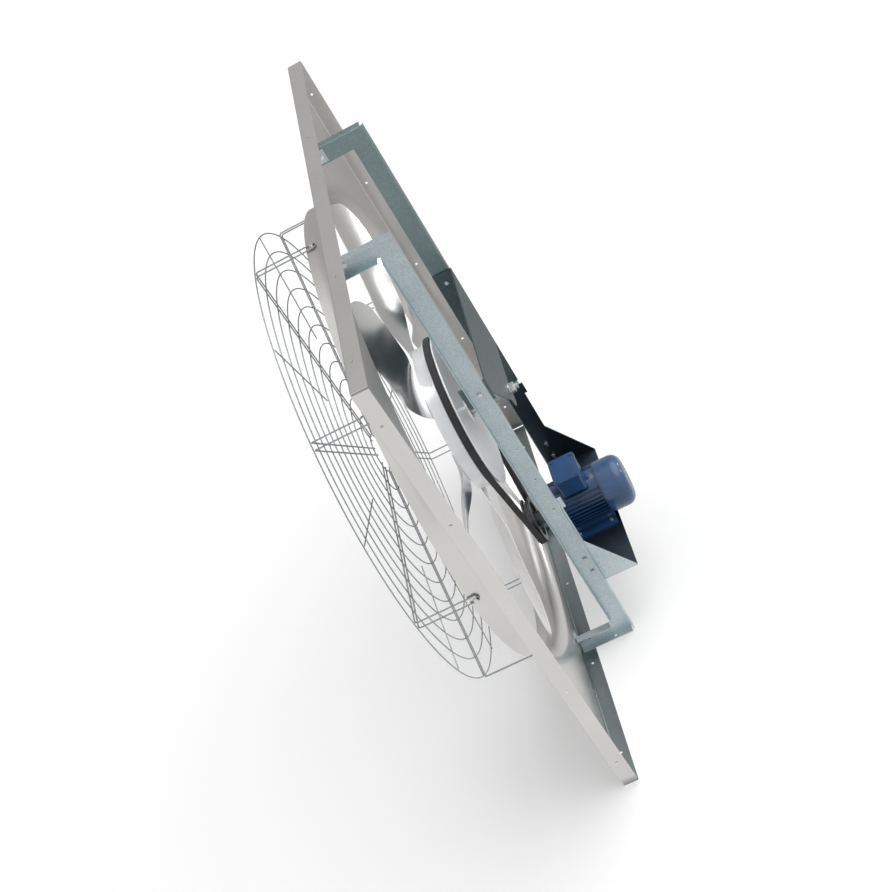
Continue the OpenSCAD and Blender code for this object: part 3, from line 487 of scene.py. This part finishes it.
# %% Find and round edges, and copy a solid
def sharp_edges(shape, angle=30):
    """The edges where two faces meet at more than the angle."""
    limit = math.radians(angle)
    return [edge for edge in shape.edges if edge.is_manifold and edge.calc_face_angle() > limit]


def round_edges(shape, edges, width, segments=2):
    """Bevels edges into small fillets of a width in metres."""
    if edges:
        bmesh.ops.bevel(shape, geom=edges, offset=width, offset_type="OFFSET", segments=segments,
                        profile=0.5, affect="EDGES", clamp_overlap=True, material=-1)


def merged_copy(node):
    """A copy of a solid's mesh with its loose triangles joined into whole faces."""
    shape = bmesh.new()
    shape.from_mesh(nodes[node].data)
    bmesh.ops.remove_doubles(shape, verts=shape.verts, dist=1e-5)
    bmesh.ops.dissolve_limit(shape, angle_limit=math.radians(0.4), verts=shape.verts,
                             edges=shape.edges)
    return shape


sample = merged_copy("spindle_nut")
print("the spindle nut has", len(nodes["spindle_nut"].data.polygons), "triangles, and once joined",
      len(sample.faces), "faces")
sample.free()

# %% [markdown]
# ## Folded sheet
# Beams, support, tray and angles are folded sheet. The solids have sharp folds, but a press brake
# leaves an outer radius about as large as the sheet is thick. A fold is an edge between two wide
# faces. An edge beside a narrow face is a cut edge, which only gets a small burr radius.

# %% Round the folds of the sheet pieces
FOLD_ANGLE, BURR, TIGHTEST_FOLD = 50, 0.3, 0.5
WIDE_SHEETS, LONG_SHEETS = 1.6, 12


def is_fold(edge, sheet):
    """True for a long edge between two faces much wider than the sheet is thick."""
    if edge.calc_length() < LONG_SHEETS * sheet:
        return False
    for face in edge.link_faces:
        longest = max(side.calc_length() for side in face.edges)
        if face.calc_area() / longest < WIDE_SHEETS * sheet:
            return False
    return True


def fold_sheet(node, body, finish, sheet, fold):
    """Rounds a sheet solid's folds outside and inside, and then its cut edges, in millimetres."""
    shape = merged_copy(node)
    for outward, width in ((True, fold), (False, max(fold - sheet, TIGHTEST_FOLD))):
        folds = [edge for edge in sharp_edges(shape, FOLD_ANGLE)
                 if edge.is_convex == outward and is_fold(edge, sheet * MM)]
        round_edges(shape, folds, width * MM, 3)
    cuts = [edge for edge in sharp_edges(shape, FOLD_ANGLE) if edge.is_convex]
    round_edges(shape, cuts, BURR * MM, 1)
    return finish_piece(shape, node + "_folded", "galvanised_sheet", body, [node], finish=finish)


# The far beam and the support wear the sheet's copies that are darkened as painted shade.
for node, body, finish_name, thickness, fold_radius in (
        ("beam_left", "frame", "galvanised_sheet", 2, 2.6),
        ("beam_right", "frame", "galvanised_far_shade", 2, 2.6),
        ("hub_support", "frame", "galvanised_deep_shade", 3, 3.2),
        ("foot_angles", "frame", "galvanised_sheet", 3, 3.0),
        ("motor_tray", "motor_carriage", "galvanised_tray", 2.5, 3.0)):
    piece = fold_sheet(node, body, finish_name, thickness, fold_radius)
    print(piece.name, len(piece.data.polygons), "faces")

# %% [markdown]
# ## Soft edges for the small solid parts
# Screws, nuts, boxes and castings have no knife edges either. These copies get one small bevel,
# narrow on screws and wider on the cast and moulded parts, which is enough to catch a highlight.
# The lid's and the shields' screws are sprayed along with the motor, and the guard's clips wear
# the panel's coat, so they take those finishes.

# %% Soften the small parts
SOFT_ANGLE = 32


def soften(node, body, slot_name, width):
    """A copy of a solid with its outer edges rounded by a width in millimetres."""
    shape = merged_copy(node)
    outer = [edge for edge in sharp_edges(shape, SOFT_ANGLE) if edge.is_convex]
    round_edges(shape, outer, width * MM)
    return finish_piece(shape, node + "_soft", slot_name, body, [node])


SOFT_PARTS = (
    ("foot_screws", "frame", "zinc_fasteners", 0.3),
    ("support_screws", "frame", "zinc_fasteners", 0.3),
    ("tray_bolts", "frame", "spindle_steel", 0.3),
    ("guard_screws", "frame", "panel_sheet", 0.3),
    ("spindle_washer", "frame", "zinc_fasteners", 0.4),
    ("spindle_nut", "frame", "zinc_fasteners", 0.8),
    ("blade_bolts", "propeller", "zinc_fasteners", 0.5),
    ("foot_bolts", "motor_carriage", "zinc_fasteners", 0.3),
    ("lid_screws", "motor_carriage", "motor_blue", 0.3),
    ("shield_screws", "motor_carriage", "motor_blue", 0.4),
    ("motor_frame", "motor_carriage", "motor_blue", 0.5),
    ("drive_shield", "motor_carriage", "motor_blue", 0.9),
    ("terminal_box", "motor_carriage", "motor_blue", 1.0),
    ("terminal_lid", "motor_carriage", "motor_blue", 1.6),
    ("cable_gland", "motor_carriage", "black_plastic", 0.6),
    ("fan_cowl", "motor_carriage", "cowl_blue", 0.25),
    ("motor_pulley", "motor_rotor", "pulley_iron", 0.7),
    ("v_belt", "frame", "belt_rubber", 0.9),
    ("panel", "frame", "panel_sheet", 0.3),
)
for node, body, slot_name, width in SOFT_PARTS:
    piece = soften(node, body, slot_name, width)
    print(piece.name, len(piece.data.polygons), "faces")

# %% [markdown]
# ## Blades
# Each blade is one stamped sheet: a flat root tab that turns into a hollow petal with rounded
# corners. A plain grid is laid on that shape by one function, thickened, and its rim is rounded.
# The grid is much finer than the solid's, because polished steel shows every facet.

# %% Stamp the blades
ROOT_START, TAB_END, TIP_RADIUS = 136, 184, 590
FIRST_BLADE, BLADE_COUNT = 53, 6
ROOT_ANGLE, BLADE_ANGLE, BLADE_SWEEP = 28, 16, 10
NARROW_SHARE, SWEEP_SHARE, TWIST_SHARE = 0.45, 0.4, 0.22
BLADE_LOW, BLADE_RISE, BLADE_HOLLOW = -10, 44, 8
LEAD_ROUND, TRAIL_ROUND = 100, 34
FLANGE_FACE, BLADE_SHEET, BLADE_EDGE = 9.2, 2.0, 0.5
SEAT_GAP, GRID_ACROSS, GRID_ALONG = 0.2, 24, 44


def ease(value):
    """0 to 1 with soft ends."""
    held = max(0.0, min(1.0, value))
    return held * held * (3 - 2 * held)


def reach(radius, share):
    """How far a change along the blade has come, when it takes a share of the tip's radius."""
    return ease((radius - TAB_END) / (share * TIP_RADIUS))


def blade_place(across, along):
    """The place on a blade's motor side, from (0, 0) at the leading root to (1, 1)."""
    from_middle = 2 * across - 1
    corner = (LEAD_ROUND if from_middle < 0 else TRAIL_ROUND) * abs(from_middle) ** 3
    radius = ROOT_START + (TIP_RADIUS - corner - ROOT_START) * along
    width = ROOT_ANGLE + (BLADE_ANGLE - ROOT_ANGLE) * reach(radius, NARROW_SHARE)
    sweep = BLADE_SWEEP * (1 - reach(radius, SWEEP_SHARE))
    turn = math.radians(from_middle / 2 * width + sweep)
    hollow = BLADE_HOLLOW * (1 - from_middle ** 2)
    rise = BLADE_LOW - FLANGE_FACE + SEAT_GAP + across * BLADE_RISE + hollow
    depth = FLANGE_FACE + reach(radius, TWIST_SHARE) * rise
    return Vector((radius * math.cos(turn), depth, radius * math.sin(turn))) * MM


def stamp_blade(number):
    """Lays a grid on the blade's shape, thickens it, rounds its rim and turns it to its place."""
    shape = bmesh.new()
    bmesh.ops.create_grid(shape, x_segments=GRID_ACROSS, y_segments=GRID_ALONG, size=0.5)
    for vert in shape.verts:
        vert.co = blade_place(vert.co.x + 0.5, vert.co.y + 0.5)
    bmesh.ops.recalc_face_normals(shape, faces=shape.faces)
    if sum(face.normal.y for face in shape.faces) > 0:
        bmesh.ops.reverse_faces(shape, faces=shape.faces)
    pushed = bmesh.ops.extrude_face_region(shape, geom=shape.faces[:])
    lifted = [item for item in pushed["geom"] if isinstance(item, bmesh.types.BMVert)]
    bmesh.ops.translate(shape, verts=lifted, vec=(0, BLADE_SHEET * MM, 0))
    bmesh.ops.recalc_face_normals(shape, faces=shape.faces)
    round_edges(shape, sharp_edges(shape, 50), BLADE_EDGE * MM)
    turn = -math.radians(FIRST_BLADE + number * 360 / BLADE_COUNT)
    bmesh.ops.rotate(shape, verts=shape.verts, cent=(0, 0, 0),
                     matrix=Matrix.Rotation(turn, 3, "Y"))
    name = "blade_%d" % (number + 1)
    return finish_piece(shape, name + "_stamped", "blade_steel", "propeller", [name], 40)


for number in range(BLADE_COUNT):
    piece = stamp_blade(number)
print("blades:", BLADE_COUNT, "with", len(piece.data.polygons), "faces each")

# %% [markdown]
# ## Drum pulley
# The drum is turned in one piece: a bearing boss, a front disc, a grooved rim, and a skirt that
# ends in the flange for the blades. Its outline is spun about the fan axis, and every corner gets
# a small turned radius.

# %% Spin the drum
DRUM_FILLET, DRUM_STEPS = 0.8, 180


def turned_shape(profile, steps, fillet):
    """Spins a closed outline of (radius, y) about the fan axis, in millimetres."""
    shape = bmesh.new()
    rim = [shape.verts.new((r * MM, y * MM, 0)) for r, y in profile]
    for first, second in zip(rim, rim[1:] + rim[:1]):
        shape.edges.new((first, second))
    bmesh.ops.spin(shape, geom=shape.verts[:] + shape.edges[:], cent=(0, 0, 0), axis=(0, 1, 0),
                   angle=2 * math.pi, steps=steps, use_merge=True)
    bmesh.ops.recalc_face_normals(shape, faces=shape.faces)
    round_edges(shape, sharp_edges(shape), fillet * MM)
    return shape


def turn_drum():
    """Spins the drum's outline, from the boss outwards, over the rim and back inside."""
    bore, boss, boss_front, boss_back = 26, 34, -52, 10
    rim, front, back, wall = 198, -49, -21, 3
    belt_line, groove_top, groove_foot, groove_floor = -35, 9.4, 5.6, 189.5
    skirt, skirt_inside, flange, flange_face, flange_back = 188, 184.5, 128, 6, 9
    inside = 186
    outline = [(bore, boss_front), (boss, boss_front), (boss, front), (rim, front),
               (rim, belt_line - groove_top), (groove_floor, belt_line - groove_foot),
               (groove_floor, belt_line + groove_foot), (rim, belt_line + groove_top),
               (rim, back), (skirt, back), (skirt, flange_back), (flange, flange_back),
               (flange, flange_face), (skirt_inside, flange_face), (skirt_inside, back),
               (inside, back - wall), (inside, front + wall), (boss, front + wall),
               (boss, boss_back), (bore, boss_back)]
    shape = turned_shape(outline, DRUM_STEPS, DRUM_FILLET)
    return finish_piece(shape, "drum_turned", "drum_aluminium", "propeller", ["drum_pulley"], 35)


drum = turn_drum()
print("drum:", len(drum.data.polygons), "faces")

# %% [markdown]
# ## Wire
# A wire is a circle carried along a path and turned to face the way ahead at every point. The
# circles are then bridged into one skin, which bends as real wire does and has closed ends.

# %% Carry a wire along a path
WIRE_SIDES = 12


def add_tube(shape, path, radius):
    """Carries a circle along a path and bridges the rings; the ends are capped."""
    loops = []
    last = len(path) - 1
    for spot, point in enumerate(path):
        ahead = path[min(spot + 1, last)] - path[max(spot - 1, 0)]
        turn = ahead.to_track_quat("Z", "Y").to_matrix().to_4x4()
        ring = bmesh.ops.create_circle(shape, cap_ends=spot in (0, last), segments=WIRE_SIDES,
                                       radius=radius, matrix=Matrix.Translation(point) @ turn)
        loops.append({edge for vert in ring["verts"] for edge in vert.link_edges})
    for first, second in zip(loops, loops[1:]):
        bmesh.ops.bridge_loops(shape, edges=list(first | second))


def turned(point, degrees):
    """A point turned about the fan axis, in metres."""
    return Matrix.Rotation(-math.radians(degrees), 3, "Y") @ Vector(point) * MM


print("100 mm along x, turned by 90 degrees:", [round(v, 3) for v in turned((100, 0, 0), 90)])

# %% [markdown]
# ## Wire guard
# The guard is bent and welded wire. Rings are circles spun about the fan axis, single spokes are
# straight tubes, and each pair is one hairpin: two wires that run down the front, turn the corner
# and meet in a U at the collar.

# %% Bend the guard
RING_WIRE, PAIR_WIRE = 3.0, 3.5
FRONT_RING, SPOKE_LEVEL, PAIR_LEVEL = 198.5, 195.4, 195.15
GUARD_RADIUS, RING_PITCH, RING_COUNT, RING_STEPS = 600, 50, 12, 160
SPOKE_COUNT, SPOKE_START = 8, 325
PAIR_COUNT, PAIR_HALF, PAIR_BEND, PAIR_LEG, PAIR_END = 8, 9, 7, 603.85, 44
INNER_RING = GUARD_RADIUS - (RING_COUNT - 1) * RING_PITCH
BEND_STEPS, LOOP_STEPS = 6, 8


def wind_rings():
    """Spins one wire circle for each ring."""
    shape = bmesh.new()
    for ring in range(RING_COUNT):
        spot = Matrix.Translation(((GUARD_RADIUS - ring * RING_PITCH) * MM, FRONT_RING * MM, 0))
        wire = bmesh.ops.create_circle(shape, cap_ends=False, segments=WIRE_SIDES,
                                       radius=RING_WIRE / 2 * MM, matrix=spot)
        edges = list({edge for vert in wire["verts"] for edge in vert.link_edges})
        bmesh.ops.spin(shape, geom=wire["verts"] + edges, cent=(0, 0, 0), axis=(0, 1, 0),
                       angle=2 * math.pi, steps=RING_STEPS, use_merge=True)
    return finish_piece(shape, "guard_rings_wound", "guard_wire", "frame", ["guard_rings"], 60)


def lay_spokes():
    """Lays a straight wire halfway between each two pairs."""
    shape = bmesh.new()
    for spoke in range(SPOKE_COUNT):
        angle = 360 / SPOKE_COUNT * (spoke + 0.5)
        ends = [turned((radius, SPOKE_LEVEL, 0), angle) for radius in (SPOKE_START, GUARD_RADIUS)]
        add_tube(shape, ends, RING_WIRE / 2 * MM)
    return finish_piece(shape, "guard_spokes_laid", "guard_wire", "frame", ["guard_spokes"], 60)


def bend_pairs():
    """Bends each hairpin: down the front, round the corner, and through a U at the collar."""
    side = [(INNER_RING, PAIR_LEVEL)]
    for step in range(BEND_STEPS + 1):
        angle = math.radians(90 - 90 / BEND_STEPS * step)
        side.append((PAIR_LEG - PAIR_BEND + PAIR_BEND * math.cos(angle),
                     PAIR_LEVEL - PAIR_BEND + PAIR_BEND * math.sin(angle)))
    shape = bmesh.new()
    for pair in range(PAIR_COUNT):
        path = [(radius, depth, -PAIR_HALF) for radius, depth in side]
        for step in range(LOOP_STEPS + 1):
            angle = math.radians(180 / LOOP_STEPS * step)
            depth = PAIR_END + PAIR_HALF - PAIR_HALF * math.sin(angle)
            path.append((PAIR_LEG, depth, -PAIR_HALF * math.cos(angle)))
        path += [(radius, depth, PAIR_HALF) for radius, depth in reversed(side)]
        places = [turned(point, 360 / PAIR_COUNT * pair) for point in path]
        add_tube(shape, places, PAIR_WIRE / 2 * MM)
    return finish_piece(shape, "guard_pairs_bent", "guard_wire", "frame", ["guard_pairs"], 60)


for piece in (wind_rings(), lay_spokes(), bend_pairs()):
    print(piece.name, len(piece.data.polygons), "faces")

# %% [markdown]
# ## Dress the other solids
# The inner parts, such as bearings, winding and key, are only seen when the fan is taken apart.
# They keep their solids' meshes and take the finishes that the record names for them.

# %% Give every solid its finish
def dress_solids():
    """Gives every solid the finish that its record names."""
    for part in frame["record"]["subparts"]:
        solid = nodes[part["node"]]
        solid.data.materials.clear()
        solid.data.materials.append(FINISHES[part["material_slot"]])


dress_solids()

# %% [markdown]
# ## The stage
# The ground is one pale sheet. The camera sees it almost white, because a little glow that only
# its rays meet is added to the plain diffuse, and the fan keeps its shadow. Metal mirrors it
# brighter on the camera's side and dimmer on the far side, as in a room with one window wall.

# %% Lay the ground
NEAR_FLOOR, FAR_FLOOR = 1.0, 0.42
NEAR_END, FAR_END = -0.9, 1.3
CAMERA_GLOW, GROUND_HALF = 0.2, 40


def lay_ground():
    """Makes the ground and its finish, and puts it on the stage."""
    shape = bmesh.new()
    bmesh.ops.create_grid(shape, x_segments=1, y_segments=1, size=GROUND_HALF)
    bmesh.ops.translate(shape, verts=shape.verts, vec=(0, 0, floor_level))
    mesh = bpy.data.meshes.new("ground")
    shape.to_mesh(mesh)
    shape.free()
    ground = bpy.data.objects.new("ground", mesh)
    bpy.context.scene.collection.objects.link(ground)
    finish = bpy.data.materials.new("pale_ground")
    finish.use_nodes = True
    tree = finish.node_tree
    tree.nodes.clear()
    path = add_node(tree, "ShaderNodeLightPath")
    strength = between(tree, path.outputs["Is Camera Ray"], 0, 1, 0, CAMERA_GLOW)
    glow = add_node(tree, "ShaderNodeEmission", {"Color": (1, 1, 1, 1), "Strength": strength})
    matt = add_node(tree, "ShaderNodeBsdfDiffuse", {"Color": (0.8, 0.8, 0.8, 1)})
    both = add_node(tree, "ShaderNodeAddShader", {0: matt.outputs[0], 1: glow.outputs[0]})
    place = add_node(tree, "ShaderNodeTexCoord").outputs["Object"]
    along = add_node(tree, "ShaderNodeSeparateXYZ", {0: place}).outputs[0]
    level = between(tree, along, NEAR_END, FAR_END, NEAR_FLOOR, FAR_FLOOR)
    mirrored = add_node(tree, "ShaderNodeEmission", {"Color": (1, 1, 1, 1), "Strength": level})
    final = add_node(tree, "ShaderNodeMixShader", {0: path.outputs["Is Glossy Ray"],
                                                   1: both.outputs[0], 2: mirrored.outputs[0]})
    add_node(tree, "ShaderNodeOutputMaterial", {"Surface": final.outputs[0]})
    mesh.materials.append(finish)


lay_ground()
print("ground laid at", round(floor_level, 4))

# %% [markdown]
# ## The light
# The photograph has soft studio light: a white room all round, one broad key light high on the
# motor side, and a shadow that falls away on the guard's side. The world is white to the camera.
# To metal it is a graded room, brighter behind the camera, so the curves read. Two small softboxes
# stand where the motor's cowl mirrors them as two highlights.

# %% Set the world and the lamps
WORLD_LEVEL = 0.55
BRIGHT_SIDE = (-0.6, -0.5, 0.6)
ROOM_DIM, ROOM_BRIGHT = 0.46, 1.1


def light_world():
    """Makes the world, with its own strength for the camera, for metal and for the rest."""
    world = bpy.data.worlds.new("studio")
    bpy.context.scene.world = world
    world.use_nodes = True
    tree = world.node_tree
    tree.nodes.clear()
    path = add_node(tree, "ShaderNodeLightPath")
    place = add_node(tree, "ShaderNodeTexCoord").outputs["Generated"]
    facing = add_node(tree, "ShaderNodeVectorMath", {0: place, 1: BRIGHT_SIDE},
                      operation="DOT_PRODUCT").outputs["Value"]
    room = between(tree, facing, -0.3, 0.9, ROOM_DIM, ROOM_BRIGHT)
    plain = add_node(tree, "ShaderNodeBackground",
                     {"Color": (1, 1, 1, 1), "Strength": WORLD_LEVEL})
    shown = add_node(tree, "ShaderNodeBackground", {"Color": (1, 1, 1, 1), "Strength": 1.0})
    mirrored = add_node(tree, "ShaderNodeBackground", {"Color": (1, 1, 1, 1), "Strength": room})
    glossy = add_node(tree, "ShaderNodeMixShader",
                      {0: path.outputs["Is Glossy Ray"], 1: plain.outputs[0], 2: mirrored.outputs[0]})
    final = add_node(tree, "ShaderNodeMixShader",
                     {0: path.outputs["Is Camera Ray"], 1: glossy.outputs[0], 2: shown.outputs[0]})
    add_node(tree, "ShaderNodeOutputWorld", {"Surface": final.outputs[0]})


def add_lamp(name, kind, energy, place, aim, size):
    """A lamp that points at aim. Size is a sun's angle in degrees, or a softbox's side."""
    data = bpy.data.lights.new(name, kind)
    data.energy = energy
    if kind == "SUN":
        data.angle = math.radians(size)
    else:
        data.size = size
    lamp = bpy.data.objects.new(name, data)
    lamp.location = place
    lamp.rotation_euler = (Vector(aim) - Vector(place)).to_track_quat("-Z", "Y").to_euler()
    bpy.context.scene.collection.objects.link(lamp)


light_world()
add_lamp("key", "SUN", 1.95, (0.7, -1.9, 3.0), (0, 0, 0), 70)
add_lamp("softbox_near", "AREA", 14, (3.14, -4.18, -0.36), (-0.01, -0.28, -0.36), 0.35)
add_lamp("softbox_far", "AREA", 18, (1.82, -4.93, -0.47), (-0.03, -0.28, -0.37), 0.45)
print("lamps:", len(bpy.data.lights))
